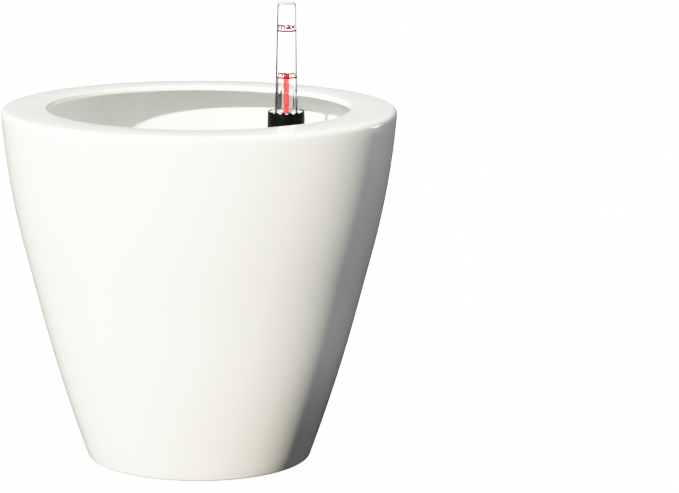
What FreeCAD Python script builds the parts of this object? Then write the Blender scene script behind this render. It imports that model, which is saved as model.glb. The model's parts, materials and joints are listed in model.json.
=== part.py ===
import FreeCAD, Part
import math
import os
import re

import Sketcher
from FreeCAD import Placement, Rotation, Vector

# Self watering planter: a gloss pot with an inward rim, a drain plug, and a sub-irrigation set made of
# a perforated separator on wick cups, a filler shaft, and a float gauge in a clear tube.
# Millimetres, +Z up, origin at the middle of the face that the pot stands on, -Y is the front.

# Driving sizes. Each row becomes one cell of the sheet: alias, value, meaning.
SIZES = [
    ("pot_height", 252.35, "foot to rim"),
    ("lower_bend_radius", 112.9, "outer wall radius where its lower sweep ends"),
    ("lower_bend_height", 106.8, "height of the same point"),
    ("upper_bend_height", 151.0, "height where the upper sweep starts"),
    ("wall_lean", 14.33, "lean of the straight stretch between the sweeps, degrees"),
    ("lower_sweep", 1164, "radius of the wall's lower sweep"),
    ("upper_sweep", 559, "radius of the wall's upper sweep"),
    ("pot_wall", 3, "wall of the pot"),
    ("lip_radius", 107.6, "radius of the opening inside the rim"),
    ("rim_thickness", 3.84, "depth of the rim at its lip"),
    ("rim_foot_height", 244, "height where the rim's node meets the wall's node"),
    ("rim_edge_round", 4, "rounding of the rim's outer edge"),
    ("lip_edge_round", 1.2, "rounding of the lip's edges"),
    ("base_edge_round", 2.5, "rounding at the foot"),
    ("foot_height", 5, "the floor is raised this much inside the foot ring"),
    ("foot_width", 7, "width of the foot ring"),
    ("floor_thickness", 3, "pot floor"),
    ("boss_radius", 15, "drain boss on the floor"),
    ("boss_rise", 8, "drain boss above the floor"),
    ("drain_radius", 9.3, "bore for the drain plug"),
    ("plug_head_radius", 13.4, "head of the drain plug"),
    ("plug_head_depth", 3, "thickness of the head"),
    ("plug_shank_radius", 8.5, "core of the plug's thread"),
    ("plug_crest_radius", 9.2, "crest of the plug's thread"),
    ("plug_rings", 3, "crests on the shank"),
    ("plug_pitch", 2.6, "spacing of the crests"),
    ("coin_slot_length", 17, "slot across the plug's head"),
    ("coin_slot_width", 2.6, "width of the slot"),
    ("coin_slot_depth", 1.6, "depth of the slot"),
    ("seal_thickness", 1, "flat washer under the head"),
    ("seal_inner_radius", 9.7, "hole of the washer"),
    ("gauge_reach", 74.5, "gauge axis from the pot's axis"),
    ("gauge_bearing", 32.5, "direction of the gauge from the pot's axis, degrees"),
    ("separator_height", 68, "underside of the separator"),
    ("separator_thickness", 2.5, "plate of the separator"),
    ("separator_radius", 95.5, "plate radius"),
    ("skirt_depth", 6, "rim turned down under the plate"),
    ("skirt_wall", 2, "wall of that rim"),
    ("hole_radius", 2.4, "perforations of the plate"),
    ("hole_row_step", 12, "distance between rows of perforations"),
    ("socket_radius", 12.2, "bore that takes the filler shaft"),
    ("socket_wall", 2.4, "wall of the socket"),
    ("socket_rise", 15, "socket above the plate"),
    ("ledge_radius", 11, "ledge that the float cage hangs from"),
    ("cup_reach", 55, "wick cup axis from the pot's axis"),
    ("cup_flange_radius", 23.5, "flange that lies on the plate"),
    ("cup_flange_thickness", 2, "thickness of the flange"),
    ("cup_top_radius", 20, "cup under the flange"),
    ("cup_foot_radius", 15, "cup at the floor"),
    ("cup_hole_radius", 20.4, "hole in the plate for a cup"),
    ("cup_wall", 1.8, "wall of a cup"),
    ("cup_slot_width", 2.6, "slots in a cup"),
    ("cage_flange_radius", 12, "flange of the float cage"),
    ("cage_flange_thickness", 2, "thickness of that flange"),
    ("cage_radius", 10.7, "outside of the cage"),
    ("cage_foot_radius", 7.2, "outside of the cage at its lower end, clear of the leaning wall"),
    ("cage_taper", 11, "height over which the cage widens"),
    ("cage_wall", 1.1, "wall of the cage"),
    ("cage_bottom", 16, "lower end of the cage"),
    ("cage_slot_width", 3, "slots in the cage"),
    ("cage_cap_thickness", 1.6, "end cap of the cage"),
    ("shaft_radius", 11.9, "outside of the filler shaft"),
    ("shaft_bore_radius", 10.6, "inside of the filler shaft"),
    ("shaft_top", 238.5, "height of the shaft's mouth"),
    ("collar_radius", 13.4, "gauge collar at its rim"),
    ("collar_foot_radius", 14, "gauge collar at its lower edge"),
    ("collar_bore_radius", 12.1, "collar's skirt over the shaft"),
    ("collar_skirt", 16.5, "length of the skirt"),
    ("collar_plate", 2.5, "plate across the collar"),
    ("collar_rim_rise", 2.3, "rim above the plate"),
    ("collar_rim_wall", 1.1, "wall of the rim"),
    ("collar_hole_radius", 8.4, "hole for the rod guide"),
    ("inlet_width", 1.9, "water inlets through the plate"),
    ("inlet_inner_radius", 9.9, "inner end of an inlet"),
    ("inlet_outer_radius", 11.9, "outer end of an inlet"),
    ("rim_notch_width", 1.9, "notches in the collar's rim"),
    ("rim_notch_depth", 0.8, "depth of a notch"),
    ("tube_foot_radius", 8.3, "clear tube at its foot"),
    ("tube_top_radius", 6.85, "clear tube at its closed end"),
    ("tube_wall", 1.1, "wall of the clear tube"),
    ("tube_top", 322.3, "height of the closed end"),
    ("tube_end_thickness", 2, "thickness of the closed end"),
    ("tube_end_round", 2.4, "rounding of the closed end"),
    ("tube_flange_radius", 9.6, "flange of the tube on the collar"),
    ("tube_flange_thickness", 1.4, "thickness of that flange"),
    ("guide_radius", 8.3, "rod guide in the collar's hole"),
    ("guide_flange_radius", 9.3, "rod guide's flange under the plate"),
    ("guide_flange_thickness", 1.3, "thickness of that flange"),
    ("guide_boss_radius", 3.4, "boss round the rod"),
    ("guide_boss_rise", 0.5, "boss above the guide's disc"),
    ("guide_bore_radius", 2.4, "bore for the rod"),
    ("guide_vent_radius", 0.8, "vents through the disc"),
    ("guide_vent_reach", 5.8, "vents from the rod's axis"),
    ("spoke_width", 1, "raised spokes of the disc"),
    ("spoke_rise", 0.5, "height of a spoke"),
    ("stop_radius", 3.4, "stop ring on the rod"),
    ("stop_height", 1, "height of the stop ring"),
    ("rod_radius", 2.1, "float rod"),
    ("rod_top", 270.7, "tip of the rod with the float down"),
    ("rod_tip_round", 0.7, "rounding of the tip"),
    ("float_radius", 8.6, "float"),
    ("float_foot_radius", 5.2, "flat at the float's lower end"),
    ("float_wall", 1, "wall of the float"),
    ("float_bottom", 18.6, "underside of the float at rest"),
    ("float_top", 46.5, "shoulder of the float at rest"),
    ("float_cap_depth", 10, "tapered cap that closes the float"),
    ("float_plug_depth", 2.5, "spigot of the cap inside the float"),
    ("float_boss_radius", 3.6, "boss that holds the rod"),
    ("float_boss_rise", 6, "boss above the shoulder"),
]

def on_arc(centre, radius, height):
    """Radius, from the pot's axis, of the point at a height on an arc about a centre."""
    return f"({centre[0]} + sqrt(({radius})^2 - (({height}) - {centre[1]})^2))"


# Heights and radii that follow from the sizes.
UPPER_BEND_RADIUS = "(lower_bend_radius + (upper_bend_height - lower_bend_height) * tan(wall_lean))"
UPPER_CENTRE = (
    f"({UPPER_BEND_RADIUS} - upper_sweep * cos(wall_lean))",
    "(upper_bend_height + upper_sweep * sin(wall_lean))",
)
LOWER_CENTRE = (
    "(lower_bend_radius - lower_sweep * cos(wall_lean))",
    "(lower_bend_height + lower_sweep * sin(wall_lean))",
)
BASE_RADIUS = on_arc(LOWER_CENTRE, "lower_sweep", "0")
INNER_BASE_RADIUS = on_arc(LOWER_CENTRE, "lower_sweep - pot_wall", "0")
FLOOR_TOP = "(foot_height + floor_thickness)"
BOSS_TOP = f"({FLOOR_TOP} + boss_rise)"
RIM_UNDERSIDE = "(pot_height - rim_thickness)"
RIM_FOOT_RADIUS = on_arc(UPPER_CENTRE, "upper_sweep", "rim_foot_height")
RIM_FOOT_INNER_RADIUS = on_arc(UPPER_CENTRE, "upper_sweep - pot_wall", "rim_foot_height")
PLUG_BOTTOM = "(foot_height - seal_thickness - plug_head_depth)"
SEPARATOR_TOP = "(separator_height + separator_thickness)"
SOCKET_TOP = f"({SEPARATOR_TOP} + socket_rise)"
CUP_TOP = f"({SEPARATOR_TOP} + cup_flange_thickness)"
CAGE_TOP = f"({SEPARATOR_TOP} + cage_flange_thickness)"
CAGE_SHOULDER = "(cage_bottom + cage_taper)"
CAGE_SLOPE = "((cage_radius - cage_foot_radius) / cage_taper)"
CAGE_CAP_TOP = "(cage_bottom + cage_cap_thickness)"
COLLAR_PLATE_TOP = "(shaft_top + collar_plate)"
COLLAR_TOP = f"({COLLAR_PLATE_TOP} + collar_rim_rise)"
TUBE_FLANGE_TOP = f"({COLLAR_PLATE_TOP} + tube_flange_thickness)"
GUIDE_BOSS_TOP = f"({COLLAR_PLATE_TOP} + guide_boss_rise)"
FLOAT_CAP_TOP = "(float_bottom + float_cap_depth)"

doc = FreeCAD.newDocument("self_watering_planter")
sheet = doc.addObject("Spreadsheet::Sheet", "Sizes")
for row, (alias, value, meaning) in enumerate(SIZES, start=1):
    sheet.set(f"A{row}", alias)
    sheet.set(f"B{row}", str(value))
    sheet.set(f"C{row}", meaning)
    sheet.setAlias(f"B{row}", alias)
doc.recompute()

ALIASES = {alias for alias, value, meaning in SIZES}


def number(text):
    """The value of an expression written in the sheet's aliases."""
    return float(sheet.evalExpression(text))


def linked(text):
    """The same expression as another object writes it, with the sheet's name before each alias."""
    return re.sub(r"[a-z_]+", lambda word: "Sizes." + word[0] if word[0] in ALIASES else word[0], text)


def bind(thing, path, text):
    """Ties one property of an object to an expression in the sheet's aliases."""
    thing.setExpression(path, linked(text))


# ---- small kit for bodies, sketches and features ----

def new_body(label):
    body = doc.addObject("PartDesign::Body", label)
    body.Label = label
    return body


def stand_on_gauge_axis(body):
    """Puts a body whose own axis is Z onto the gauge's axis."""
    bind(body, "Placement.Base.x", "gauge_reach * cos(gauge_bearing)")
    bind(body, "Placement.Base.y", "gauge_reach * sin(gauge_bearing)")


def new_sketch(body, name, role, height=None):
    """A sketch on one of the body's own origin planes, raised to a height when one is given."""
    sketch = body.newObject("Sketcher::SketchObject", name)
    plane = next(item for item in body.Origin.OriginFeatures if item.Role == role)
    sketch.AttachmentSupport = (plane, "")
    sketch.MapMode = "FlatFace"
    if height is not None:
        bind(sketch, "AttachmentOffset.Base.z", height)
    return sketch


def fix_value(sketch, constraint, name, text):
    """Adds a constraint, names it and ties its value to the sheet."""
    index = sketch.addConstraint(constraint)
    sketch.renameConstraint(index, name)
    bind(sketch, f"Constraints.{name}", text)


def arc_through(start, end, radius):
    """A short arc from start to end that bulges to the right of that direction."""
    chord = end - start
    sagitta = radius - math.sqrt(radius ** 2 - (chord.Length / 2) ** 2)
    across = Vector(chord.y, -chord.x, 0).normalize()
    return Part.Arc(start, (start + end) * 0.5 + across * sagitta, end)


def draw_outline(sketch, corners, arcs=None):
    """Closed outline through corners (across, up); arcs maps a side's number to its radius.

    An arc's radius expression may start with '-', which makes it bulge to the left.
    """
    arcs = arcs or {}
    points = [Vector(number(across), number(up), 0) for across, up in corners]
    ends = []
    for side, start in enumerate(points):
        end = points[(side + 1) % len(points)]
        if side not in arcs:
            line = sketch.addGeometry(Part.LineSegment(start, end))
            ends.append((line, 1, 2))
            continue
        radius = arcs[side]
        if radius.startswith("-"):
            curve = sketch.addGeometry(arc_through(end, start, number(radius[1:])))
        else:
            curve = sketch.addGeometry(arc_through(start, end, number(radius)))
        starts_here = sketch.Geometry[curve].StartPoint.distanceToPoint(start) < 1e-6
        ends.append((curve, 1, 2) if starts_here else (curve, 2, 1))
    for side, (geometry, first, last) in enumerate(ends):
        following, joined, unused = ends[(side + 1) % len(ends)]
        sketch.addConstraint(Sketcher.Constraint("Coincident", geometry, last, following, joined))
    for side, (geometry, first, last) in enumerate(ends):
        across, up = corners[side]
        place = points[side]
        fix_value(sketch, Sketcher.Constraint("DistanceX", geometry, first, place.x), f"across{side}", across)
        fix_value(sketch, Sketcher.Constraint("DistanceY", geometry, first, place.y), f"up{side}", up)
        if side in arcs:
            radius = arcs[side].lstrip("-")
            constraint = Sketcher.Constraint("Radius", geometry, number(radius))
            fix_value(sketch, constraint, f"radius{side}", radius)


def draw_circle(sketch, across, up, radius):
    index = sketch.addGeometry(Part.Circle(Vector(number(across), number(up), 0), Vector(0, 0, 1), number(radius)))
    centre = sketch.Geometry[index].Center
    fix_value(sketch, Sketcher.Constraint("DistanceX", index, 3, centre.x), f"circle_across{index}", across)
    fix_value(sketch, Sketcher.Constraint("DistanceY", index, 3, centre.y), f"circle_up{index}", up)
    fix_value(sketch, Sketcher.Constraint("Radius", index, number(radius)), f"circle_radius{index}", radius)


def rectangle(left, right, bottom, top):
    """Corners of a rectangle, for draw_outline."""
    return [(left, bottom), (right, bottom), (right, top), (left, top)]


def revolve(body, name, corners, arcs=None):
    """Turns an outline in the XZ plane about the body's Z axis."""
    sketch = new_sketch(body, name + "_outline", "XZ_Plane")
    draw_outline(sketch, corners, arcs)
    turned = body.newObject("PartDesign::Revolution", name)
    turned.Profile = sketch
    turned.ReferenceAxis = (sketch, ["V_Axis"])
    turned.Angle = 360
    doc.recompute()
    return turned


def pad(body, name, sketch, length):
    raised = body.newObject("PartDesign::Pad", name)
    raised.Profile = sketch
    bind(raised, "Length", length)
    doc.recompute()
    return raised


def pocket(body, name, sketch, depth, upwards=False):
    """Cuts a sketch's outline to a depth, down from it or up, and makes sure that it removed something."""
    before = body.Shape.Volume
    cut = body.newObject("PartDesign::Pocket", name)
    cut.Profile = sketch
    cut.Reversed = upwards
    bind(cut, "Length", depth)
    doc.recompute()
    if body.Shape.Volume > before - 1e-3:
        raise RuntimeError(f"{body.Label}: {name} removed nothing")
    return cut


def repeat_around(body, feature, count, span=360):
    """Repeats a feature about the body's Z axis; over less than a full turn both ends are used."""
    pattern = body.newObject("PartDesign::PolarPattern", feature.Name + "_pattern")
    pattern.Originals = [feature]
    pattern.Axis = (feature.Profile[0], ["N_Axis"])
    pattern.Angle = span
    pattern.Occurrences = count
    body.Tip = pattern
    doc.recompute()
    return pattern


def round_rings(body, rings, radius):
    """Fillets the circular edges at the given (radius, height) places about the body's Z axis."""
    places = [(number(across), number(up)) for across, up in rings]
    base = body.Tip
    names = []
    for index, edge in enumerate(base.Shape.Edges, start=1):
        if not isinstance(edge.Curve, Part.Circle):
            continue
        middle = edge.Curve.Center
        local = (edge.Curve.Radius, middle.z)
        on_axis = math.hypot(middle.x, middle.y) < 1e-4
        if on_axis and any(math.dist(local, place) < 1e-3 for place in places):
            names.append(f"Edge{index}")
    if len(names) < len(places):
        raise RuntimeError(f"{body.Label}: found {len(names)} of {len(places)} edges to round")
    fillet = body.newObject("PartDesign::Fillet", f"{body.Name}_round{base.Name}")
    fillet.Base = (base, names)
    bind(fillet, "Radius", radius)
    doc.recompute()
    return fillet


# ---- the pot and its drain ----

def make_planter_shell():
    """Swept wall. The pot is one moulding; its wall, rim and floor are kept as three nodes."""
    body = new_body("planter_shell")
    step_in = "pot_wall * cos(wall_lean)"
    step_up = "pot_wall * sin(wall_lean)"
    corners = [
        (INNER_BASE_RADIUS, "0"),
        (BASE_RADIUS, "0"),
        ("lower_bend_radius", "lower_bend_height"),
        (UPPER_BEND_RADIUS, "upper_bend_height"),
        (RIM_FOOT_RADIUS, "rim_foot_height"),
        (RIM_FOOT_INNER_RADIUS, "rim_foot_height"),
        (f"({UPPER_BEND_RADIUS} - {step_in})", f"(upper_bend_height + {step_up})"),
        (f"(lower_bend_radius - {step_in})", f"(lower_bend_height + {step_up})"),
    ]
    arcs = {
        1: "lower_sweep",
        3: "upper_sweep",
        5: "-(upper_sweep - pot_wall)",
        7: "-(lower_sweep - pot_wall)",
    }
    revolve(body, "wall", corners, arcs)
    round_rings(body, [(BASE_RADIUS, "0")], "base_edge_round")
    return body


def make_planter_rim():
    """Rim turned inwards to the lip, with the last few millimetres of the wall below it."""
    body = new_body("planter_rim")
    rim_radius = on_arc(UPPER_CENTRE, "upper_sweep", "pot_height")
    inner_top_radius = on_arc(UPPER_CENTRE, "upper_sweep - pot_wall", RIM_UNDERSIDE)
    corners = [
        (RIM_FOOT_INNER_RADIUS, "rim_foot_height"),
        (RIM_FOOT_RADIUS, "rim_foot_height"),
        (rim_radius, "pot_height"),
        ("lip_radius", "pot_height"),
        ("lip_radius", RIM_UNDERSIDE),
        (inner_top_radius, RIM_UNDERSIDE),
    ]
    revolve(body, "rim_ring", corners, {1: "upper_sweep", 5: "-(upper_sweep - pot_wall)"})
    round_rings(body, [(rim_radius, "pot_height")], "rim_edge_round")
    round_rings(body, [("lip_radius", "pot_height"), ("lip_radius", RIM_UNDERSIDE)], "lip_edge_round")
    return body


def make_planter_floor():
    """Raised floor inside the wall's foot, with the foot ring below and the drain boss above."""
    body = new_body("planter_floor")
    inner_floor_radius = on_arc(LOWER_CENTRE, "lower_sweep - pot_wall", FLOOR_TOP)
    foot_inner_radius = f"({BASE_RADIUS} - foot_width)"
    corners = [
        (foot_inner_radius, "0"),
        (INNER_BASE_RADIUS, "0"),
        (inner_floor_radius, FLOOR_TOP),
        ("boss_radius", FLOOR_TOP),
        ("boss_radius", BOSS_TOP),
        ("drain_radius", BOSS_TOP),
        ("drain_radius", "foot_height"),
        (foot_inner_radius, "foot_height"),
    ]
    revolve(body, "floor_and_boss", corners, {1: "lower_sweep - pot_wall"})
    return body


def make_drain_plug():
    """Plug that screws up into the drain boss: slotted head below the washer, crested shank above."""
    body = new_body("drain_plug")
    head_top = "(foot_height - seal_thickness)"
    shank_top = f"({BOSS_TOP} - 1)"
    corners = [
        ("0", PLUG_BOTTOM),
        ("plug_head_radius", PLUG_BOTTOM),
        ("plug_head_radius", head_top),
        ("plug_shank_radius", head_top),
    ]
    for ring in range(int(number("plug_rings"))):
        foot = f"({head_top} + 2 + {ring} * plug_pitch)"
        corners += [
            ("plug_shank_radius", foot),
            ("plug_crest_radius", f"({foot} + 0.5)"),
            ("plug_crest_radius", f"({foot} + 0.9)"),
            ("plug_shank_radius", f"({foot} + 1.4)"),
        ]
    corners += [("plug_shank_radius", shank_top), ("0", shank_top)]
    revolve(body, "plug_head_and_shank", corners)
    sketch = new_sketch(body, "coin_slot_outline", "XY_Plane", PLUG_BOTTOM)
    half_length = "coin_slot_length / 2"
    half_width = "coin_slot_width / 2"
    slot = rectangle(f"-{half_length}", half_length, f"-{half_width}", half_width)
    draw_outline(sketch, slot)
    pocket(body, "coin_slot", sketch, "coin_slot_depth", upwards=True)
    round_rings(body, [("plug_head_radius", PLUG_BOTTOM)], "0.8")
    return body


def make_drain_plug_seal():
    """Flat washer between the plug's head and the pot's floor."""
    body = new_body("drain_plug_seal")
    bottom = "(foot_height - seal_thickness)"
    revolve(body, "washer", rectangle("seal_inner_radius", "(plug_head_radius - 0.4)", bottom, "foot_height"))
    return body


# ---- the separator and the pieces that hang from it ----

def make_separator_plate():
    """Perforated false floor with a turned-down rim, a socket for the shaft and holes for the wick cups.

    The gauge lies along the body's own X axis, so the body is turned to the gauge's bearing.
    """
    body = new_body("separator_plate")
    skirt_bottom = "(separator_height - skirt_depth)"
    skirt_inner = "(separator_radius - skirt_wall)"
    corners = [
        ("0", "separator_height"),
        (skirt_inner, "separator_height"),
        (skirt_inner, skirt_bottom),
        ("separator_radius", skirt_bottom),
        ("separator_radius", SEPARATOR_TOP),
        ("0", SEPARATOR_TOP),
    ]
    revolve(body, "plate_and_skirt", corners)
    round_rings(body, [("separator_radius", SEPARATOR_TOP)], "1.2")

    sketch = new_sketch(body, "socket_outline", "XY_Plane", "separator_height")
    draw_circle(sketch, "gauge_reach", "0", "(socket_radius + socket_wall)")
    pad(body, "socket", sketch, "(separator_thickness + socket_rise)")
    sketch = new_sketch(body, "socket_bore_outline", "XY_Plane", SOCKET_TOP)
    draw_circle(sketch, "gauge_reach", "0", "socket_radius")
    pocket(body, "socket_bore", sketch, "socket_rise")
    sketch = new_sketch(body, "cage_hole_outline", "XY_Plane", SEPARATOR_TOP)
    draw_circle(sketch, "gauge_reach", "0", "ledge_radius")
    pocket(body, "cage_hole", sketch, "separator_thickness + 1")

    sketch = new_sketch(body, "cup_hole_outline", "XY_Plane", SEPARATOR_TOP)
    draw_circle(sketch, "0", "cup_reach", "cup_hole_radius")
    cup_hole = pocket(body, "cup_hole", sketch, "separator_thickness + 1")
    repeat_around(body, cup_hole, 3, span=180)

    sketch = new_sketch(body, "perforation_outline", "XY_Plane", SEPARATOR_TOP)
    for row in range(1, 8):
        holes = max(1, row - 2)
        for hole in range(holes):
            bearing = 45 + 10 * (hole - (holes - 1) / 2)
            reach = f"{row} * hole_row_step"
            draw_circle(sketch, f"{reach} * cos({bearing})", f"{reach} * sin({bearing})", "hole_radius")
    perforations = pocket(body, "perforations", sketch, "separator_thickness + 1")
    repeat_around(body, perforations, 4)
    turn_to_gauge(body)
    return body


def turn_to_gauge(body):
    """Turns a body about Z so that its X axis points at the gauge."""
    body.Placement = Placement(Vector(0, 0, 0), Rotation(Vector(0, 0, 1), number("gauge_bearing")))
    bind(body, "Placement.Rotation.Angle", "gauge_bearing")


def make_wick_cup(label, quarter_turns):
    """Slotted cup that stands on the pot's floor, holds up the separator and draws water into its soil."""
    body = new_body(label)
    corners = [
        ("0", FLOOR_TOP),
        ("cup_foot_radius", FLOOR_TOP),
        ("cup_top_radius", SEPARATOR_TOP),
        ("cup_flange_radius", SEPARATOR_TOP),
        ("cup_flange_radius", CUP_TOP),
        ("(cup_top_radius - cup_wall)", CUP_TOP),
        ("(cup_foot_radius - cup_wall)", f"({FLOOR_TOP} + cup_wall)"),
        ("0", f"({FLOOR_TOP} + cup_wall)"),
    ]
    revolve(body, "cup_wall_" + label, corners)
    round_rings(body, [("cup_flange_radius", CUP_TOP)], "0.8")
    cut_upright_slots(body, "cup_slot_width", f"({FLOOR_TOP} + 6)", "(separator_height - 8)", "cup_top_radius + 5", 8)
    sketch = new_sketch(body, "cup_drain_outline", "XY_Plane", f"({FLOOR_TOP} + cup_wall)")
    draw_circle(sketch, "0", "0", "hole_radius + 1")
    pocket(body, "cup_drain", sketch, "cup_wall + 1")
    bearing = f"gauge_bearing + {90 * quarter_turns}"
    bind(body, "Placement.Base.x", f"cup_reach * cos({bearing})")
    bind(body, "Placement.Base.y", f"cup_reach * sin({bearing})")
    return body


def cut_upright_slots(body, width, bottom, top, reach, count):
    """Cuts upright slots through a round wall, evenly spaced about the body's Z axis."""
    sketch = new_sketch(body, "slot_outline", "XZ_Plane")
    draw_outline(sketch, rectangle(f"-{width} / 2", f"{width} / 2", bottom, top))
    slot = pocket(body, "slot", sketch, reach)
    pattern = body.newObject("PartDesign::PolarPattern", "slots")
    pattern.Originals = [slot]
    pattern.Axis = (sketch, ["V_Axis"])
    pattern.Angle = 360
    pattern.Occurrences = count
    body.Tip = pattern
    doc.recompute()


def make_float_cage():
    """Slotted tube that hangs from the separator's ledge; its foot narrows to clear the pot's wall."""
    body = new_body("float_cage")
    corners = [
        ("(cage_foot_radius - cage_wall)", "cage_bottom"),
        ("cage_foot_radius", "cage_bottom"),
        ("cage_radius", CAGE_SHOULDER),
        ("cage_radius", SEPARATOR_TOP),
        ("cage_flange_radius", SEPARATOR_TOP),
        ("cage_flange_radius", CAGE_TOP),
        ("(cage_radius - cage_wall)", CAGE_TOP),
        ("(cage_radius - cage_wall)", CAGE_SHOULDER),
    ]
    revolve(body, "cage_wall", corners)
    cut_upright_slots(body, "cage_slot_width", "(cage_bottom + 5)", "(separator_height - 6)", "cage_radius + 5", 6)
    stand_on_gauge_axis(body)
    return body


def make_float_cage_cap():
    """Cap pressed into the lower end of the cage."""
    body = new_body("float_cage_cap")
    corners = [
        ("hole_radius", "cage_bottom"),
        ("(cage_foot_radius - cage_wall)", "cage_bottom"),
        (f"(cage_foot_radius - cage_wall + {CAGE_SLOPE} * cage_cap_thickness)", CAGE_CAP_TOP),
        ("hole_radius", CAGE_CAP_TOP),
    ]
    revolve(body, "cap_disc", corners)
    stand_on_gauge_axis(body)
    return body


def make_filler_shaft():
    """Tube that stands in the separator's socket: water is poured in at its mouth."""
    body = new_body("filler_shaft")
    corners = [
        ("shaft_bore_radius", CAGE_TOP),
        ("shaft_radius", CAGE_TOP),
        ("shaft_radius", SOCKET_TOP),
        ("(socket_radius + 1)", f"({SOCKET_TOP} + 0.3)"),
        ("(socket_radius + 1)", f"({SOCKET_TOP} + 2)"),
        ("shaft_radius", f"({SOCKET_TOP} + 3.3)"),
        ("shaft_radius", "shaft_top"),
        ("shaft_bore_radius", "shaft_top"),
    ]
    revolve(body, "shaft_wall", corners)
    stand_on_gauge_axis(body)
    return body


# ---- the gauge ----

def make_gauge_collar():
    """Cap over the shaft's mouth: notched rim, ring of water inlets, hole for the rod guide."""
    body = new_body("gauge_collar")
    skirt_bottom = "(shaft_top - collar_skirt)"
    rim_inner = "(collar_radius - collar_rim_wall)"
    corners = [
        ("collar_hole_radius", "shaft_top"),
        ("collar_bore_radius", "shaft_top"),
        ("collar_bore_radius", skirt_bottom),
        ("collar_foot_radius", skirt_bottom),
        ("collar_radius", COLLAR_TOP),
        (rim_inner, COLLAR_TOP),
        (rim_inner, COLLAR_PLATE_TOP),
        ("collar_hole_radius", COLLAR_PLATE_TOP),
    ]
    revolve(body, "collar_skirt_and_plate", corners)
    sketch = new_sketch(body, "inlet_outline", "XY_Plane", COLLAR_PLATE_TOP)
    half_inlet = "inlet_width / 2"
    draw_outline(sketch, rectangle("inlet_inner_radius", "inlet_outer_radius", f"-{half_inlet}", half_inlet))
    inlet = pocket(body, "inlet", sketch, "collar_plate + 1")
    repeat_around(body, inlet, 16)
    sketch = new_sketch(body, "rim_notch_outline", "XY_Plane", COLLAR_TOP)
    half_notch = "rim_notch_width / 2"
    outer = "(collar_radius + 2)"
    draw_outline(sketch, rectangle("inlet_outer_radius", outer, f"-{half_notch}", half_notch))
    notch = pocket(body, "rim_notch", sketch, "rim_notch_depth")
    repeat_around(body, notch, 16)
    stand_on_gauge_axis(body)
    return body


def make_gauge_tube():
    """Clear tapered tube, closed at the top, on a thin flange that is snapped to the collar."""
    body = new_body("gauge_tube")
    inner_top = "(tube_top - tube_end_thickness)"
    corners = [
        ("(tube_foot_radius - tube_wall)", COLLAR_PLATE_TOP),
        ("tube_flange_radius", COLLAR_PLATE_TOP),
        ("tube_flange_radius", TUBE_FLANGE_TOP),
        ("tube_foot_radius", TUBE_FLANGE_TOP),
        ("tube_top_radius", "tube_top"),
        ("0", "tube_top"),
        ("0", inner_top),
        ("(tube_top_radius - tube_wall)", inner_top),
    ]
    revolve(body, "tube_wall_and_end", corners)
    round_rings(body, [("tube_top_radius", "tube_top")], "tube_end_round")
    round_rings(body, [("(tube_top_radius - tube_wall)", inner_top)], "tube_end_round - tube_wall / 2")
    round_rings(body, [("tube_flange_radius", TUBE_FLANGE_TOP)], "0.5")
    stand_on_gauge_axis(body)
    return body


def make_rod_guide():
    """Disc in the tube's foot: a boss round the rod, raised spokes and small vents."""
    body = new_body("rod_guide")
    flange_bottom = "(shaft_top - guide_flange_thickness)"
    corners = [
        ("guide_bore_radius", flange_bottom),
        ("guide_flange_radius", flange_bottom),
        ("guide_flange_radius", "shaft_top"),
        ("guide_radius", "shaft_top"),
        ("guide_radius", COLLAR_PLATE_TOP),
        ("guide_boss_radius", COLLAR_PLATE_TOP),
        ("guide_boss_radius", GUIDE_BOSS_TOP),
        ("guide_bore_radius", GUIDE_BOSS_TOP),
    ]
    revolve(body, "guide_disc", corners)
    sketch = new_sketch(body, "vent_outline", "XY_Plane", COLLAR_PLATE_TOP)
    draw_circle(sketch, "guide_vent_reach", "0", "guide_vent_radius")
    vent = pocket(body, "vent", sketch, "collar_plate + guide_flange_thickness + 1")
    repeat_around(body, vent, 6)
    sketch = new_sketch(body, "spoke_outline", "XY_Plane", COLLAR_PLATE_TOP)
    across = "spoke_width / 2"
    inner = "(guide_bore_radius + 0.5)"
    outer = "(tube_foot_radius - tube_wall - 0.3)"
    draw_outline(sketch, rectangle(f"-{across}", across, inner, outer))
    spoke = pad(body, "spoke", sketch, "spoke_rise")
    repeat_around(body, spoke, 6)
    stand_on_gauge_axis(body)
    return body


def make_rod_stop():
    """Ring pressed on the rod: it rests on the guide's boss when the reservoir is empty."""
    body = new_body("rod_stop")
    top = f"({GUIDE_BOSS_TOP} + stop_height)"
    revolve(body, "stop_ring", rectangle("rod_radius", "stop_radius", GUIDE_BOSS_TOP, top))
    round_rings(body, [("stop_radius", top)], "0.4")
    stand_on_gauge_axis(body)
    return body


def make_float_rod():
    """Rod that shows the water level in the clear tube."""
    body = new_body("float_rod")
    revolve(body, "rod", rectangle("0", "rod_radius", "float_top", "rod_top"))
    round_rings(body, [("rod_radius", "rod_top")], "rod_tip_round")
    stand_on_gauge_axis(body)
    return body


def make_float_shell():
    """Hollow float, open below, with the boss that grips the rod."""
    body = new_body("float_shell")
    boss_top = "(float_top + float_boss_rise)"
    inner_top = "(float_top - float_wall)"
    inner_radius = "(float_radius - float_wall)"
    corners = [
        (inner_radius, FLOAT_CAP_TOP),
        ("float_radius", FLOAT_CAP_TOP),
        ("float_radius", "float_top"),
        ("float_boss_radius", "float_top"),
        ("float_boss_radius", boss_top),
        ("rod_radius", boss_top),
        ("rod_radius", "float_top"),
        ("0", "float_top"),
        ("0", inner_top),
        (inner_radius, inner_top),
    ]
    revolve(body, "float_wall_and_boss", corners)
    round_rings(body, [("float_radius", "float_top")], "1.6")
    stand_on_gauge_axis(body)
    return body


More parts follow.
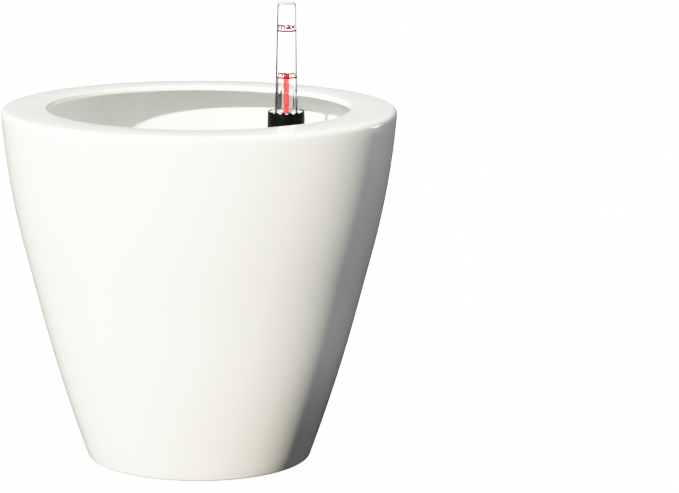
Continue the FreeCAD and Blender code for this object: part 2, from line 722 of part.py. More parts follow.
def make_float_cap():
    """Hollow tapered cap welded into the float's open end."""
    body = new_body("float_cap")
    inner_radius = "(float_radius - float_wall)"
    spigot_inner_radius = "(float_radius - 2 * float_wall)"
    spigot_top = f"({FLOAT_CAP_TOP} + float_plug_depth)"
    corners = [
        ("0", "float_bottom"),
        ("float_foot_radius", "float_bottom"),
        ("float_radius", FLOAT_CAP_TOP),
        (inner_radius, FLOAT_CAP_TOP),
        (inner_radius, spigot_top),
        (spigot_inner_radius, spigot_top),
        (spigot_inner_radius, FLOAT_CAP_TOP),
        ("(float_foot_radius - float_wall)", "(float_bottom + float_wall)"),
        ("0", "(float_bottom + float_wall)"),
    ]
    revolve(body, "cap_and_spigot", corners)
    round_rings(body, [("float_foot_radius", "float_bottom")], "0.8")
    stand_on_gauge_axis(body)
    return body


nodes = [
    make_planter_shell(),
    make_planter_rim(),
    make_planter_floor(),
    make_drain_plug(),
    make_drain_plug_seal(),
    make_separator_plate(),
    make_wick_cup("wick_cup_back_left", 1),
    make_wick_cup("wick_cup_front_left", 2),
    make_wick_cup("wick_cup_front_right", 3),
    make_float_cage(),
    make_float_cage_cap(),
    make_filler_shaft(),
    make_gauge_collar(),
    make_gauge_tube(),
    make_rod_guide(),
    make_rod_stop(),
    make_float_rod(),
    make_float_shell(),
    make_float_cap(),
]
doc.recompute()

for item in doc.Objects:
    if "Invalid" in item.State or "Error" in item.State:
        raise RuntimeError(f"{item.Label} failed: {item.State}")
for node in nodes:
    shape = node.Shape
    if shape.isNull() or not shape.isValid() or len(shape.Solids) != 1:
        raise RuntimeError(f"{node.Label} is not one valid solid")

os.makedirs("parts", exist_ok=True)
for node in nodes:
    node.Shape.exportStep(f"parts/{node.Label}.step")
    box = node.Shape.BoundBox
    print(f"{node.Label}: {box.XLength:.1f} x {box.YLength:.1f} x {box.ZLength:.1f}, {node.Shape.Volume:.0f} mm3")
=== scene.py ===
import json
import math

import bmesh
import bpy
from mathutils import Matrix, Vector


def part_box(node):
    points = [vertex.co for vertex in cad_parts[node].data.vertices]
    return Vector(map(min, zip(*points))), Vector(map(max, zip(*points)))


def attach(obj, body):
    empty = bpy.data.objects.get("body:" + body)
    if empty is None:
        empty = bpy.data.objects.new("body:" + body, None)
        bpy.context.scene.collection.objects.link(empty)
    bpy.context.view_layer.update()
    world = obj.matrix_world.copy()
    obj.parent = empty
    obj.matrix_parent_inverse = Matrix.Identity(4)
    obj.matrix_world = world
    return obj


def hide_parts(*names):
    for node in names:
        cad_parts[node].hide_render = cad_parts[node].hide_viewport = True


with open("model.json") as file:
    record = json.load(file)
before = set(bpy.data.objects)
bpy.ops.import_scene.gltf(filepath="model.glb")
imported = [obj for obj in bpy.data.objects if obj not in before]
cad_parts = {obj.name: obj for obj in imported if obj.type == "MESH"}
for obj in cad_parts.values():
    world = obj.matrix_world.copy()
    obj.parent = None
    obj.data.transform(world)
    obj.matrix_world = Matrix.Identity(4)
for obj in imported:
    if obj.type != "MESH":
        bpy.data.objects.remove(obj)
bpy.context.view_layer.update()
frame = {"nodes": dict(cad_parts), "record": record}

MM = 0.001

# Places that everything else is worked out from.
tube_low, tube_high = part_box("gauge_tube")
GAUGE = Vector(((tube_low.x + tube_high.x) / 2, (tube_low.y + tube_high.y) / 2, 0))
POT_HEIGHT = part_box("planter_rim")[1].z

# The pot's outline, as the CAD has it.
LOWER_BEND = (112.9 * MM, 106.8 * MM)
UPPER_BEND_HEIGHT = 151.0 * MM
WALL_LEAN = math.radians(14.33)
LOWER_SWEEP = 1164 * MM
UPPER_SWEEP = 559 * MM
POT_WALL = 3 * MM
LIP_RADIUS = 107.6 * MM
RIM_THICKNESS = 3.84 * MM
FOOT_HEIGHT = 5 * MM
FOOT_WIDTH = 7 * MM
FLOOR_TOP = 8 * MM
BOSS_RADIUS = 15 * MM
BOSS_TOP = 16 * MM
DRAIN_RADIUS = 9.3 * MM

# The clear tube, as the CAD has it, and the print on it.
TUBE_FOOT_RADIUS = 8.3 * MM
TUBE_TOP_RADIUS = 6.85 * MM
TUBE_FOOT_HEIGHT = 242.4 * MM
PRINT_GAP = 0.03 * MM
PRINT_DEPTH = 0.08 * MM
LINE_WIDTH = 1.45 * MM
LINE_SPAN = 176
STROKE = 1.2 * MM
LETTER_GAP = 0.7
MAX_HEIGHT = 301.8 * MM
MIN_HEIGHT = 268.1 * MM

# What lies this near to the tube's taper counts as its skin, for the painted shade at its edges.
TUBE_SKIN = 0.3 * MM

# Each letter: its width and its strokes' middle lines. The unit is the letters' height less one stroke.
LETTERS = {
    "m": (2.6, (((0, 0), (0, 1)), ((0, 0.85), (0.5, 1), (0.9, 1), (1.3, 0.7), (1.3, 0)),
                ((1.3, 0.85), (1.8, 1), (2.2, 1), (2.6, 0.7), (2.6, 0)))),
    "a": (1.35, (((0.3, 1), (0.95, 1), (1.35, 0.6), (1.35, 0)),
                 ((1.35, 0.45), (0.1, 0.2), (0.4, 0), (1.35, 0.1)))),
    "x": (1.6, (((0, 0), (1.6, 1)), ((0, 1), (1.6, 0)))),
    "i": (0.0, (((0, 0), (0, 1)),)),
    "n": (1.4, (((0, 0), (0, 1)), ((0, 0.8), (0.5, 1), (1.05, 1), (1.4, 0.7), (1.4, 0)))),
}

# The pale segments on the collar's plate, a painted highlight for the glints on its top; the tube stands on
# that plate.
HIGHLIGHT_COUNT = 12
HIGHLIGHT_FILL = 0.78
HIGHLIGHT_INNER = 9.7 * MM
HIGHLIGHT_OUTER = 12.2 * MM
COLLAR_PLATE_TOP = tube_low.z
HIGHLIGHT_TOP = COLLAR_PLATE_TOP + 1.6 * MM

# Brightness that the picture shows as full white, and the background's brightness through the tube.
FULL_WHITE = 6.0
WHITE_THROUGH_GLASS = 4.0

# The white card and the low dark one stand round the pot's axis, the two flags round the gauge's.
WHITE_CARD_REACH = 2.5
WHITE_CARD_TOP = 2.2
WHITE_CARD_GLOW = 3.6
LOW_FLAG_REACH = 0.17
LOW_FLAG_TOP = 0.08
FLAG_REACH = 26 * MM
FLAG_FOOT = 0.2

# Faces that meet at more than this are shaded as an edge.
SHARP_ANGLE = math.radians(35)


# ---- camera ----

def make_camera():
    """Long lens, a little above the rim, with the pot left of the middle of the picture."""
    data = bpy.data.cameras.new("camera")
    data.lens = 154.3
    data.sensor_width = 36
    data.shift_x = 0.2068
    data.clip_start = 0.05
    data.clip_end = 60
    camera = bpy.data.objects.new("camera", data)
    camera.location = (0, -2.0393, 0.5500)
    camera.rotation_euler = (math.radians(90 - 11.06), 0, 0)
    bpy.context.scene.collection.objects.link(camera)
    bpy.context.scene.camera = camera


# ---- meshes ----

def link(name, mesh):
    piece = bpy.data.objects.new(name, mesh)
    bpy.context.scene.collection.objects.link(piece)
    return piece


def rounded(corners, steps=6):
    """Outline points from corners (radius, height, rounding), each rounded corner as an arc."""
    points = []
    count = len(corners)
    for index, (across, up, rounding) in enumerate(corners):
        corner = Vector((across, up))
        if not rounding:
            points.append(corner)
            continue
        before = Vector(corners[index - 1][:2]) - corner
        after = Vector(corners[(index + 1) % count][:2]) - corner
        half = before.angle(after) / 2
        inward = (before.normalized() + after.normalized()).normalized()
        centre = corner + inward * (rounding / math.sin(half))
        reach = rounding / math.tan(half)
        first = corner + before.normalized() * reach - centre
        last = corner + after.normalized() * reach - centre
        turn = first.angle_signed(last)
        for step in range(steps + 1):
            angle = -turn * step / steps
            points.append(centre + Matrix.Rotation(angle, 2) @ first)
    return points


def finish_mesh(name, mesh):
    """Turns a bmesh into mesh data and frees it."""
    data = bpy.data.meshes.new(name)
    mesh.to_mesh(data)
    mesh.free()
    return data


def sweep_bar(mesh, columns):
    """Joins columns of four points into one bar, closed at both ends."""
    for column, following in zip(columns, columns[1:]):
        for side in range(4):
            other = (side + 1) % 4
            mesh.faces.new((column[side], following[side], following[other], column[other]))
    mesh.faces.new(columns[0])
    mesh.faces.new(reversed(columns[-1]))


def lathe(name, outline, segments):
    """Turns a closed outline of (radius, height) points about the Z axis."""
    mesh = bmesh.new()
    columns = []
    for segment in range(segments):
        angle = 2 * math.pi * segment / segments
        direction = Vector((math.cos(angle), math.sin(angle), 0))
        columns.append([mesh.verts.new(direction * p[0] + Vector((0, 0, p[1]))) for p in outline])
    for segment, column in enumerate(columns):
        following = columns[(segment + 1) % segments]
        for side in range(len(outline)):
            other = (side + 1) % len(outline)
            mesh.faces.new((column[side], following[side], following[other], column[other]))
    bmesh.ops.remove_doubles(mesh, verts=mesh.verts, dist=1e-7)
    bmesh.ops.recalc_face_normals(mesh, faces=mesh.faces)
    data = finish_mesh(name, mesh)
    data.shade_smooth()
    return link(name, data)


def wall_radius(height, inset=0.0):
    """Radius of the pot's wall at a height, on the face that lies this far inside the outer one."""
    lean_in = inset * math.cos(WALL_LEAN)
    lean_up = inset * math.sin(WALL_LEAN)
    low = Vector((LOWER_BEND[0] - lean_in, LOWER_BEND[1] + lean_up))
    rise = UPPER_BEND_HEIGHT - LOWER_BEND[1]
    high = low + Vector((rise * math.tan(WALL_LEAN), rise))
    if low.y <= height <= high.y:
        return low.x + (height - low.y) * math.tan(WALL_LEAN)
    start, sweep = (low, LOWER_SWEEP - inset) if height < low.y else (high, UPPER_SWEEP - inset)
    centre = start + sweep * Vector((-math.cos(WALL_LEAN), math.sin(WALL_LEAN)))
    return centre.x + math.sqrt(sweep ** 2 - (height - centre.y) ** 2)


def make_pot():
    """The shell as one lathed moulding, fine enough for its gloss."""
    wall_steps = 24
    outer = []
    inner = []
    rim_underside = POT_HEIGHT - RIM_THICKNESS
    for step in range(1, wall_steps):
        share = step / wall_steps
        outer_height = POT_HEIGHT * share
        inner_height = rim_underside + (FLOOR_TOP - rim_underside) * share
        outer.append((wall_radius(outer_height), outer_height, 0))
        inner.append((wall_radius(inner_height, POT_WALL), inner_height, 0))
    foot_inner = wall_radius(0) - FOOT_WIDTH
    corners = [
        (foot_inner, 0, 0.8 * MM),
        (wall_radius(0), 0, 2.5 * MM),
        *outer,
        (wall_radius(POT_HEIGHT), POT_HEIGHT, 4 * MM),
        (LIP_RADIUS, POT_HEIGHT, 1.2 * MM),
        (LIP_RADIUS, rim_underside, 1.2 * MM),
        (wall_radius(rim_underside, POT_WALL), rim_underside, 1.5 * MM),
        *inner,
        (wall_radius(FLOOR_TOP, POT_WALL), FLOOR_TOP, 5 * MM),
        (BOSS_RADIUS, FLOOR_TOP, 1.5 * MM),
        (BOSS_RADIUS, BOSS_TOP, 0.8 * MM),
        (DRAIN_RADIUS, BOSS_TOP, 0.5 * MM),
        (DRAIN_RADIUS, FOOT_HEIGHT, 0.5 * MM),
        (foot_inner, FOOT_HEIGHT, 1 * MM),
    ]
    pot = lathe("pot_shell", rounded(corners), 320)
    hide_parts("planter_shell", "planter_rim", "planter_floor")
    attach(pot, "pot")
    return pot


def tube_radius(height):
    """Outer radius of the clear tube at a height."""
    share = (height - TUBE_FOOT_HEIGHT) / (tube_high.z - TUBE_FOOT_HEIGHT)
    return TUBE_FOOT_RADIUS + (TUBE_TOP_RADIUS - TUBE_FOOT_RADIUS) * share


def wrap_on_tube(mesh):
    """Bends a flat print (x across, y up, z out) round the tube's front."""
    for vertex in mesh.vertices:
        across, height, out = vertex.co
        reach = tube_radius(height) + PRINT_GAP + out
        bearing = across / tube_radius(height)
        vertex.co = GAUGE + Vector((reach * math.sin(bearing), -reach * math.cos(bearing), height))
    mesh.shade_smooth()
    mesh.set_sharp_from_angle(angle=SHARP_ANGLE)


def add_stroke(mesh, start, end, width):
    """A flat bar from start to end, square at both ends."""
    along = (Vector(end) - Vector(start)).normalized() * (width / 2)
    across = Vector((-along.y, along.x))
    first = Vector(start) - along
    last = Vector(end) + along
    outline = (first - across, last - across, last + across, first + across)
    rings = [[mesh.verts.new((p.x, p.y, out)) for p in outline] for out in (0, PRINT_DEPTH)]
    mesh.faces.new(reversed(rings[0]))
    mesh.faces.new(rings[1])
    for side in range(4):
        other = (side + 1) % 4
        mesh.faces.new((rings[0][side], rings[0][other], rings[1][other], rings[1][side]))


def draw_word(word, base, letter_height, stretch):
    """A level word in plain upright strokes, centred, standing on a base height and stretched sideways."""
    size = letter_height - STROKE
    total = sum(LETTERS[letter][0] + LETTER_GAP for letter in word) - LETTER_GAP
    mesh = bmesh.new()
    left = -total / 2
    for letter in word:
        width, strokes = LETTERS[letter]
        for stroke in strokes:
            points = [((left + x) * size * stretch, base + STROKE / 2 + y * size) for x, y in stroke]
            for start, end in zip(points, points[1:]):
                add_stroke(mesh, start, end, STROKE)
        left += width + LETTER_GAP
    return finish_mesh(word, mesh)


def make_level_mark(word, height, rise, letter_height, stretch):
    """One level mark printed on the tube: a line round its front half and the word above the line."""
    letters = draw_word(word, height + rise, letter_height, stretch)
    wrap_on_tube(letters)
    piece = link(f"{word}_word", letters)

    line = bmesh.new()
    bottom = height - LINE_WIDTH / 2
    top = height + LINE_WIDTH / 2
    section = ((bottom, 0), (bottom, PRINT_DEPTH), (top, PRINT_DEPTH), (top, 0))
    reach = tube_radius(height) * math.radians(LINE_SPAN / 2)
    steps = 48
    columns = []
    for step in range(steps + 1):
        across = reach * (2 * step / steps - 1)
        columns.append([line.verts.new((across, up, out)) for up, out in section])
    sweep_bar(line, columns)
    bmesh.ops.recalc_face_normals(line, faces=line.faces)
    line_mesh = finish_mesh(f"{word}_line", line)
    wrap_on_tube(line_mesh)
    ring = link(f"{word}_line", line_mesh)
    for print_piece in (piece, ring):
        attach(print_piece, "gauge")
        print_piece.visible_shadow = False
    return [piece, ring]


def make_painted_collar_highlight():
    """Pale segments on the collar's plate: a painted highlight for the glints on its top; they don't line up
    with its water inlets.
    """
    ring = bmesh.new()
    share = 2 * math.pi / HIGHLIGHT_COUNT
    steps = 6
    for segment in range(HIGHLIGHT_COUNT):
        columns = []
        for step in range(steps + 1):
            angle = (segment + 0.5 + HIGHLIGHT_FILL * (step / steps - 0.5)) * share
            direction = Vector((math.cos(angle), math.sin(angle), 0))
            corners = ((HIGHLIGHT_INNER, COLLAR_PLATE_TOP), (HIGHLIGHT_OUTER, COLLAR_PLATE_TOP),
                       (HIGHLIGHT_OUTER, HIGHLIGHT_TOP), (HIGHLIGHT_INNER, HIGHLIGHT_TOP))
            columns.append([ring.verts.new(GAUGE + direction * r + Vector((0, 0, z))) for r, z in corners])
        sweep_bar(ring, columns)
    bmesh.ops.recalc_face_normals(ring, faces=ring.faces)
    highlight_piece = link("painted_collar_highlight", finish_mesh("painted_collar_highlight", ring))
    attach(highlight_piece, "gauge")
    return highlight_piece


# ---- materials ----

def new_material(name):
    """A Principled material, its node tree and the shader node."""
    material = bpy.data.materials.new(name)
    material.use_nodes = True
    tree = material.node_tree
    return material, tree, tree.nodes["Principled BSDF"]


def noise_of(tree, scale, detail, stretch=(1, 1, 1)):
    """Noise on the piece's own coordinates, in features per metre."""
    place = tree.nodes.new("ShaderNodeTexCoord")
    mapping = tree.nodes.new("ShaderNodeMapping")
    mapping.inputs["Scale"].default_value = stretch
    noise = tree.nodes.new("ShaderNodeTexNoise")
    noise.inputs["Scale"].default_value = scale
    noise.inputs["Detail"].default_value = detail
    tree.links.new(place.outputs["Object"], mapping.inputs["Vector"])
    tree.links.new(mapping.outputs["Vector"], noise.inputs["Vector"])
    return noise.outputs["Fac"]


def vary_colour(tree, shader, source, dark, light):
    """Base colour between two near tones."""
    ramp = tree.nodes.new("ShaderNodeValToRGB")
    ramp.color_ramp.elements[0].position = 0.3
    ramp.color_ramp.elements[1].position = 0.7
    ramp.color_ramp.elements[0].color = (*dark, 1)
    ramp.color_ramp.elements[1].color = (*light, 1)
    tree.links.new(source, ramp.inputs["Fac"])
    tree.links.new(ramp.outputs["Color"], shader.inputs["Base Color"])


def vary_roughness(tree, shader, source, low, high):
    """Roughness between two near values."""
    spread = tree.nodes.new("ShaderNodeMapRange")
    spread.inputs["From Min"].default_value = 0.3
    spread.inputs["From Max"].default_value = 0.7
    spread.inputs["To Min"].default_value = low
    spread.inputs["To Max"].default_value = high
    tree.links.new(source, spread.inputs["Value"])
    tree.links.new(spread.outputs["Result"], shader.inputs["Roughness"])


def bump(tree, shader, source, strength, distance):
    """Fine relief; distance is its depth in metres."""
    relief = tree.nodes.new("ShaderNodeBump")
    relief.inputs["Strength"].default_value = strength
    relief.inputs["Distance"].default_value = distance
    tree.links.new(source, relief.inputs["Height"])
    tree.links.new(relief.outputs["Normal"], shader.inputs["Normal"])


def lacquer():
    """Warm white high gloss lacquer with a faint orange peel."""
    material, tree, shader = new_material("white_lacquer")
    vary_colour(tree, shader, noise_of(tree, 9, 2), (0.865, 0.868, 0.862), (0.89, 0.893, 0.887))
    vary_roughness(tree, shader, noise_of(tree, 60, 4), 0.16, 0.26)
    bump(tree, shader, noise_of(tree, 520, 2), 0.05, 0.0002)
    shader.inputs["IOR"].default_value = 1.5
    shader.inputs["Coat Weight"].default_value = 0.6
    shader.inputs["Coat Roughness"].default_value = 0.04
    return material


def moulded_plastic(name, dark, light, rough, grain=1800, relief=0.12, specular=0.5):
    """Moulded plastic with a fine spark-eroded grain."""
    material, tree, shader = new_material(name)
    shader.inputs["Specular IOR Level"].default_value = specular
    vary_colour(tree, shader, noise_of(tree, 120, 3), dark, light)
    vary_roughness(tree, shader, noise_of(tree, 400, 3), rough - 0.06, rough + 0.06)
    bump(tree, shader, noise_of(tree, grain, 2), relief, 0.0001)
    return material


def colour_of(tree, shader, first, second):
    """Base colour as the product of two colour nodes."""
    product = tree.nodes.new("ShaderNodeMix")
    product.data_type = "RGBA"
    product.blend_type = "MULTIPLY"
    product.inputs["Factor"].default_value = 1
    tree.links.new(first.outputs["Color"], product.inputs["A"])
    tree.links.new(second.outputs["Result"], product.inputs["B"])
    tree.links.new(product.outputs["Result"], shader.inputs["Base Color"])


def maths(tree, operation, first, second, third=None):
    """A Math node on two sources; the third input is a number."""
    node = tree.nodes.new("ShaderNodeMath")
    node.operation = operation
    tree.links.new(first, node.inputs[0])
    tree.links.new(second, node.inputs[1])
    if third is not None:
        node.inputs[2].default_value = third
    return node.outputs["Value"]


def on_tube_skin(tree):
    """1 on the tube's tapered outer face, 0 on its bore, flange and closed end."""
    place = tree.nodes.new("ShaderNodeTexCoord")
    flat = tree.nodes.new("ShaderNodeMapping")
    flat.inputs["Location"].default_value = -GAUGE
    flat.inputs["Scale"].default_value = (1, 1, 0)
    reach = tree.nodes.new("ShaderNodeVectorMath")
    reach.operation = "LENGTH"
    split = tree.nodes.new("ShaderNodeSeparateXYZ")
    taper = tree.nodes.new("ShaderNodeMapRange")
    taper.inputs["From Min"].default_value = TUBE_FOOT_HEIGHT
    taper.inputs["From Max"].default_value = tube_high.z
    taper.inputs["To Min"].default_value = TUBE_FOOT_RADIUS
    taper.inputs["To Max"].default_value = TUBE_TOP_RADIUS
    tree.links.new(place.outputs["Object"], flat.inputs["Vector"])
    tree.links.new(flat.outputs["Vector"], reach.inputs[0])
    tree.links.new(place.outputs["Object"], split.inputs["Vector"])
    tree.links.new(split.outputs["Z"], taper.inputs["Value"])
    return maths(tree, "COMPARE", reach.outputs["Value"], taper.outputs["Result"], TUBE_SKIN)


def clear_plastic():
    """Polished clear plastic with a trace of waviness; the tube's skin has painted shade, near black, where
    it is seen edge on.
    """
    material, tree, shader = new_material("clear_plastic")
    # Painted shade: the skin's colour goes near black where it is seen edge on, for the dark edges of the
    # tube.
    edge = tree.nodes.new("ShaderNodeLayerWeight")
    edge.inputs["Blend"].default_value = 0.5
    painted_edge_shade = tree.nodes.new("ShaderNodeValToRGB")
    clear, grey = painted_edge_shade.color_ramp.elements
    clear.position = 0.37
    clear.color = (0.985, 0.99, 0.995, 1)
    grey.position = 0.44
    grey.color = (0.001, 0.001, 0.001, 1)
    wisps = tree.nodes.new("ShaderNodeMix")
    wisps.data_type = "RGBA"
    wisps.blend_type = "MULTIPLY"
    wisps.inputs["A"].default_value = (1, 1, 1, 1)
    wisps.inputs["B"].default_value = (0.97, 0.975, 0.98, 1)
    tree.links.new(noise_of(tree, 60, 1), wisps.inputs["Factor"])
    edge_on = maths(tree, "MULTIPLY", edge.outputs["Facing"], on_tube_skin(tree))
    tree.links.new(edge_on, painted_edge_shade.inputs["Fac"])
    colour_of(tree, shader, painted_edge_shade, wisps)
    vary_roughness(tree, shader, noise_of(tree, 200, 2), 0.0, 0.02)
    bump(tree, shader, noise_of(tree, 160, 1, stretch=(1, 1, 0.2)), 0.03, 0.0002)
    shader.inputs["Transmission Weight"].default_value = 1.0
    shader.inputs["IOR"].default_value = 1.49
    return material


def gloss_plastic(name, dark, light, specular=0.5):
    """Smooth coloured plastic with slight flow marks along its length."""
    material, tree, shader = new_material(name)
    vary_colour(tree, shader, noise_of(tree, 300, 2, stretch=(1, 1, 0.1)), dark, light)
    vary_roughness(tree, shader, noise_of(tree, 700, 2), 0.14, 0.24)
    shader.inputs["Specular IOR Level"].default_value = specular
    bump(tree, shader, noise_of(tree, 900, 1, stretch=(1, 1, 0.15)), 0.04, 0.0001)
    return material


def rubber():
    material, tree, shader = new_material("seal_rubber")
    vary_colour(tree, shader, noise_of(tree, 500, 3), (0.018, 0.018, 0.018), (0.04, 0.04, 0.04))
    vary_roughness(tree, shader, noise_of(tree, 900, 3), 0.6, 0.8)
    bump(tree, shader, noise_of(tree, 2500, 2), 0.2, 0.0001)
    return material


def finish_nodes():
    """Gives every CAD node that stays its material and smooth shading."""
    black_tones = ((0.0007, 0.0007, 0.0008), (0.0015, 0.0015, 0.0016))
    black = moulded_plastic("black_plastic", *black_tones, 0.42, specular=0.03)
    grey = moulded_plastic("grey_plastic", (0.055, 0.055, 0.058), (0.085, 0.085, 0.09), 0.45)
    white = moulded_plastic("float_white", (0.75, 0.75, 0.73), (0.83, 0.83, 0.81), 0.5)
    pale = gloss_plastic("guide_plastic", (0.78, 0.79, 0.8), (0.88, 0.89, 0.9))
    red = gloss_plastic("red_plastic", (0.5, 0.009, 0.012), (0.6, 0.014, 0.018), specular=0.2)
    by_slot = {
        "black_plastic": black,
        "grey_plastic": grey,
        "float_white": white,
        "guide_plastic": pale,
        "red_plastic": red,
        "clear_plastic": clear_plastic(),
        "rubber_seal": rubber(),
        "pot_white": lacquer(),
    }
    for entry in frame["record"]["subparts"]:
        node = frame["nodes"][entry["node"]]
        node.data.materials.clear()
        node.data.materials.append(by_slot[entry["material_slot"]])
        node.data.shade_smooth()
        node.data.set_sharp_from_angle(angle=SHARP_ANGLE)
    frame["nodes"]["gauge_tube"].visible_shadow = False
    frame["nodes"]["float_rod"].visible_glossy = False
    by_slot["print"] = gloss_plastic("print_red", (0.09, 0.003, 0.005), (0.13, 0.004, 0.007), specular=0.05)
    return by_slot


# ---- stage and light ----

def make_floor():
    """Plain pale floor just under the foot ring, reached by the overhead sun only and clear from below."""
    size = 16
    level = -0.3 * MM
    mesh = bpy.data.meshes.new("floor")
    corners = [(-size, -size, level), (size, -size, level), (size, size, level), (-size, size, level)]
    mesh.from_pydata(corners, [], [(0, 1, 2, 3)])
    floor = link("floor", mesh)
    material, tree, shader = new_material("floor_paint")
    vary_colour(tree, shader, noise_of(tree, 3, 2), (0.84, 0.84, 0.84), (0.86, 0.86, 0.86))
    shader.inputs["Roughness"].default_value = 0.7
    shader.inputs["Emission Color"].default_value = (1, 1, 1, 1)
    shader.inputs["Emission Strength"].default_value = 3.2
    side = tree.nodes.new("ShaderNodeNewGeometry")
    clear = tree.nodes.new("ShaderNodeBsdfTransparent")
    mix = tree.nodes.new("ShaderNodeMixShader")
    tree.links.new(side.outputs["Backfacing"], mix.inputs["Fac"])
    tree.links.new(shader.outputs["BSDF"], mix.inputs[1])
    tree.links.new(clear.outputs["BSDF"], mix.inputs[2])
    tree.links.new(mix.outputs["Shader"], tree.nodes["Material Output"].inputs["Surface"])
    mesh.materials.append(material)
    floor.visible_diffuse = False
    floor.visible_glossy = False
    floor.visible_shadow = False
    return floor


def make_world():
    """White to the camera and through glass; as light, a dome that is brightest overhead and dark below."""
    world = bpy.data.worlds.new("studio")
    world.use_nodes = True
    bpy.context.scene.world = world
    tree = world.node_tree
    tree.nodes.clear()
    place = tree.nodes.new("ShaderNodeTexCoord")
    split = tree.nodes.new("ShaderNodeSeparateXYZ")
    spread = tree.nodes.new("ShaderNodeMapRange")
    spread.inputs["From Min"].default_value = -0.3
    spread.inputs["From Max"].default_value = 1.0
    spread.inputs["To Min"].default_value = 0.02
    spread.inputs["To Max"].default_value = 1.4
    ambient = tree.nodes.new("ShaderNodeBackground")
    white = tree.nodes.new("ShaderNodeBackground")
    rays = tree.nodes.new("ShaderNodeLightPath")
    mix = tree.nodes.new("ShaderNodeMixShader")
    output = tree.nodes.new("ShaderNodeOutputWorld")
    ambient.inputs["Color"].default_value = (0.96, 1, 1, 1)
    tree.links.new(place.outputs["Generated"], split.inputs["Vector"])
    tree.links.new(split.outputs["Z"], spread.inputs["Value"])
    tree.links.new(spread.outputs["Result"], ambient.inputs["Strength"])
    unlit = tree.nodes.new("ShaderNodeMapRange")
    unlit.inputs["To Min"].default_value = 1
    unlit.inputs["To Max"].default_value = 0
    tree.links.new(rays.outputs["Diffuse Depth"], unlit.inputs["Value"])
    seen = maths(tree, "MAXIMUM", rays.outputs["Is Camera Ray"], rays.outputs["Is Transmission Ray"])
    tree.links.new(maths(tree, "MULTIPLY", seen, unlit.outputs["Result"]), mix.inputs["Fac"])
    level = tree.nodes.new("ShaderNodeMapRange")
    level.inputs["To Min"].default_value = FULL_WHITE
    level.inputs["To Max"].default_value = WHITE_THROUGH_GLASS
    tree.links.new(rays.outputs["Is Transmission Ray"], level.inputs["Value"])
    tree.links.new(level.outputs["Result"], white.inputs["Strength"])
    tree.links.new(ambient.outputs["Background"], mix.inputs[1])
    tree.links.new(white.outputs["Background"], mix.inputs[2])
    tree.links.new(mix.outputs["Shader"], output.inputs["Surface"])
    white.inputs["Color"].default_value = (1, 1, 1, 1)


def aim(light, bearing, elevation):
    """Turns a light so that it shines from a bearing left of the camera's side and an elevation."""
    b = math.radians(bearing)
    e = math.radians(elevation)
    towards = Vector((math.sin(b) * math.cos(e), math.cos(b) * math.cos(e), -math.sin(e)))
    light.rotation_euler = towards.to_track_quat("-Z", "Y").to_euler()


def shine_on(light, receiver, state):
    """Light linking: the light reaches only the receiver (INCLUDE), or all but the receiver (EXCLUDE)."""
    chosen = bpy.data.collections.new(light.name + "_receivers")
    chosen.objects.link(receiver)
    light.light_linking.receiver_collection = chosen
    for entry in chosen.collection_objects:
        entry.light_linking.link_state = state


def make_sun(name, strength, spread, colour, bearing, elevation):
    data = bpy.data.lights.new(name, "SUN")
    data.energy = strength
    data.angle = math.radians(spread)
    data.color = colour
    sun = bpy.data.objects.new(name, data)
    aim(sun, bearing, elevation)
    bpy.context.scene.collection.objects.link(sun)
    return sun


def make_lights(floor):
    key = make_sun("key", strength=14.4, spread=2.5, colour=(1, 0.945, 0.73), bearing=28.9, elevation=30)
    side = make_sun("side", strength=4.2, spread=40, colour=(0.98, 0.99, 1), bearing=86, elevation=32)
    back = make_sun("back", strength=0.42, spread=8, colour=(0.96, 1, 1), bearing=-122, elevation=-4)
    for sun in (key, side, back):
        shine_on(sun, floor, "EXCLUDE")
    overhead = make_sun("overhead", strength=6, spread=70, colour=(1, 1, 1), bearing=0, elevation=90)
    shine_on(overhead, floor, "INCLUDE")


def only_seen_by(card, kind):
    """A card that only one kind of ray meets: it is no shadow caster, and the camera doesn't see it."""
    card.visible_camera = False
    card.visible_diffuse = kind == "diffuse"
    card.visible_shadow = False
    card.visible_volume_scatter = False
    card.visible_glossy = kind == "glossy"
    card.visible_transmission = kind == "transmission"


def card_material(name, brightness):
    """Near black, glowing by this brightness."""
    material, tree, shader = new_material(name)
    vary_colour(tree, shader, noise_of(tree, 3, 1), (0.001, 0.001, 0.001), (0.002, 0.002, 0.002))
    shader.inputs["Specular IOR Level"].default_value = 0
    shader.inputs["Emission Color"].default_value = (1, 1, 0.99, 1)
    shader.inputs["Emission Strength"].default_value = brightness
    return material


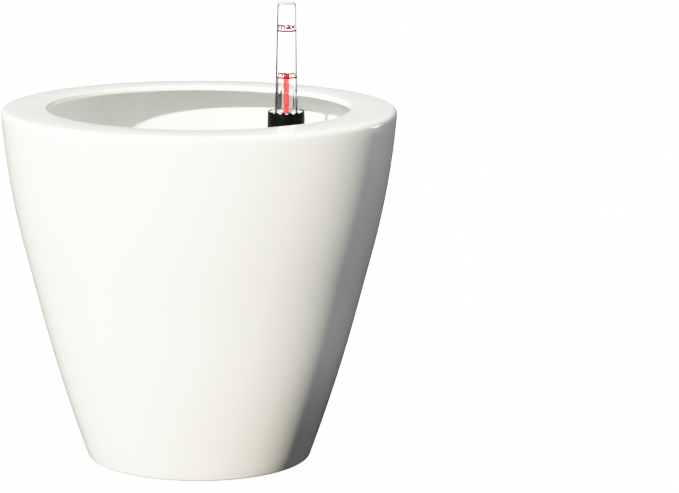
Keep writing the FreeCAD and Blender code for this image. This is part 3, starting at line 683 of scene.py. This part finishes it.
def curved_card(name, centre, reach, heights, bottom, brightness):
    """An upright card bent round a centre; heights lists (degrees left of straight back, top height)."""
    mesh = bmesh.new()
    columns = []
    for bearing, top in heights:
        b = math.radians(bearing)
        foot = centre + reach * Vector((-math.sin(b), math.cos(b), 0))
        columns.append([mesh.verts.new((foot.x, foot.y, z)) for z in (bottom, top)])
    for column, following in zip(columns, columns[1:]):
        mesh.faces.new((column[0], following[0], following[1], column[1]))
    data = finish_mesh(name, mesh)
    card = link(name, data)
    data.materials.append(card_material(name, brightness))
    return card


def make_cards():
    """White card on the left for the lacquer's edge, low dark card right and in front, two dark flags."""
    middle = Vector((0, 0, 0))
    white = [(bearing, WHITE_CARD_TOP) for bearing in range(50, 151, 10)]
    white_card = curved_card("white_card", middle, WHITE_CARD_REACH, white, 0.0, WHITE_CARD_GLOW)
    only_seen_by(white_card, "glossy")
    low = [(bearing, LOW_FLAG_TOP) for bearing in range(-210, -49, 10)]
    only_seen_by(curved_card("low_flag", middle, LOW_FLAG_REACH, low, 0.0, 0), "diffuse")
    left = [(8, 255.5 * MM), (12, 255 * MM), (15, 252.5 * MM), (20, 252 * MM), (22, 264 * MM), (80, 265 * MM)]
    only_seen_by(curved_card("left_flag", GAUGE, FLAG_REACH, left, FLAG_FOOT, 0), "transmission")
    right = [(-26, 253 * MM), (-19, 255 * MM)]
    only_seen_by(curved_card("right_flag", GAUGE, FLAG_REACH, right, FLAG_FOOT, 0), "transmission")


def set_tone():
    """Exponential exposure, 1 - exp(-x), so that bright lacquer rolls off softly towards white."""
    view = bpy.context.scene.view_settings
    view.view_transform = "Standard"
    view.use_curve_mapping = True
    mapping = view.curve_mapping
    mapping.extend = "HORIZONTAL"
    mapping.white_level = (FULL_WHITE,) * 3
    curve = mapping.curves[3]
    curve.points[1].location = (1, 1)
    steps = 24
    for step in range(1, steps):
        share = (step / steps) ** 2
        curve.points.new(share, 1 - math.exp(-share * FULL_WHITE))
    mapping.update()


# ---- the scene ----

make_camera()
set_tone()
by_slot = finish_nodes()
pot = make_pot()
pot.data.materials.append(by_slot["pot_white"])
upper_mark = make_level_mark("max", MAX_HEIGHT, rise=1.3 * MM, letter_height=3.3 * MM, stretch=0.86)
lower_mark = make_level_mark("min", MIN_HEIGHT, rise=1.1 * MM, letter_height=2.8 * MM, stretch=1.45)
for piece in upper_mark + lower_mark:
    piece.data.materials.append(by_slot["print"])
# Pale segments on the collar's plate, painted on as a highlight for its glints.
make_painted_collar_highlight().data.materials.append(by_slot["guide_plastic"])
make_world()
make_lights(make_floor())
make_cards()
